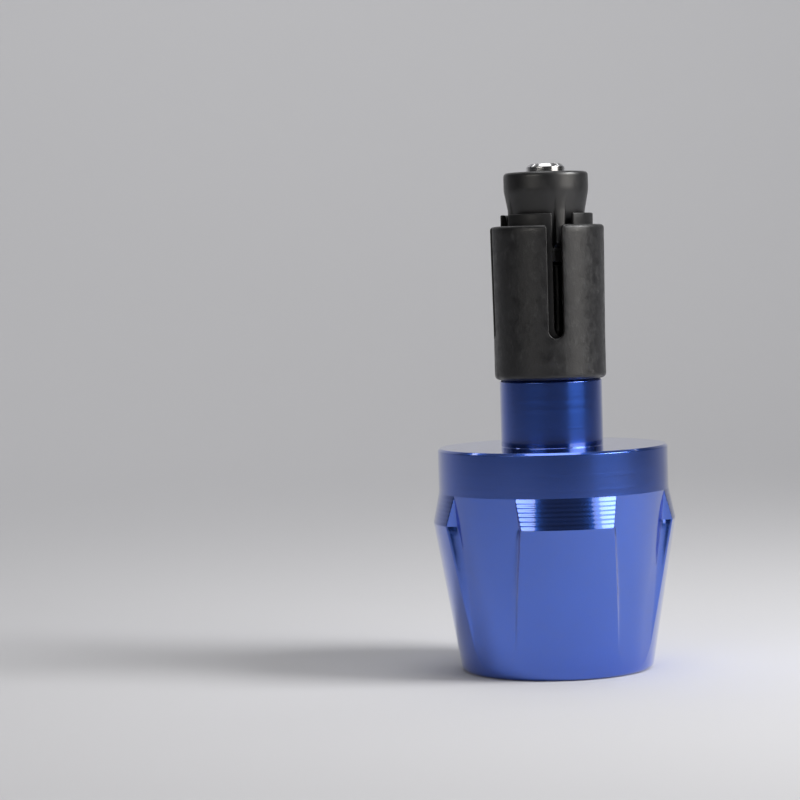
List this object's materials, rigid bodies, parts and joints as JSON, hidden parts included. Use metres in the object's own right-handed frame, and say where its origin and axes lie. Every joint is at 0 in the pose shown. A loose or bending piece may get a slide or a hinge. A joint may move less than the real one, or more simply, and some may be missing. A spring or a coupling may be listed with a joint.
{
  "type": "bar end weight",
  "caption": "Fluted cylindrical handlebar end weight with a dished end, a neck and a screw-drawn wedge that expands a slotted rubber sleeve inside the bar.",
  "frame": {"origin": "centre of the outer rim's face, on which the weight stands", "axes": "+Z along the screw, from the outer end towards the expander; -Y through the middle of one land"},
  "size_m": [0.038, 0.038, 0.079],
  "materials": {
    "anodised_weight": "polished and anodised blue",
    "sleeve_rubber": "satin moulded rubber, lightly scuffed",
    "collet_plastic": "matt moulded plastic",
    "wedge_plastic": "satin moulded plastic",
    "insert_steel": "turned",
    "screw_steel": "polished stainless steel"
  },
  "bodies": {
    "weight": {"weight": "anodised_weight", "sleeve": "sleeve_rubber", "collet": "collet_plastic"},
    "screw": {"clamp_screw": "screw_steel"},
    "wedge": {"wedge": "wedge_plastic", "threaded_insert": "insert_steel"}
  },
  "joints": [
    {"name": "screw_turn", "type": "hinge", "parent": "weight", "child": "screw", "pos_m": [0, 0, 0.0043], "axis": [0, 0, 1], "range_deg": [-720, 720]},
    {"name": "wedge_slide", "type": "slide", "parent": "weight", "child": "wedge", "axis": [0, 0, -1], "range_m": [-0.002, 0.002]}
  ],
  "couplings": [
    {"joint": "wedge_slide", "follows": "screw_turn", "m_per_rad": 0.00015915}
  ]
}
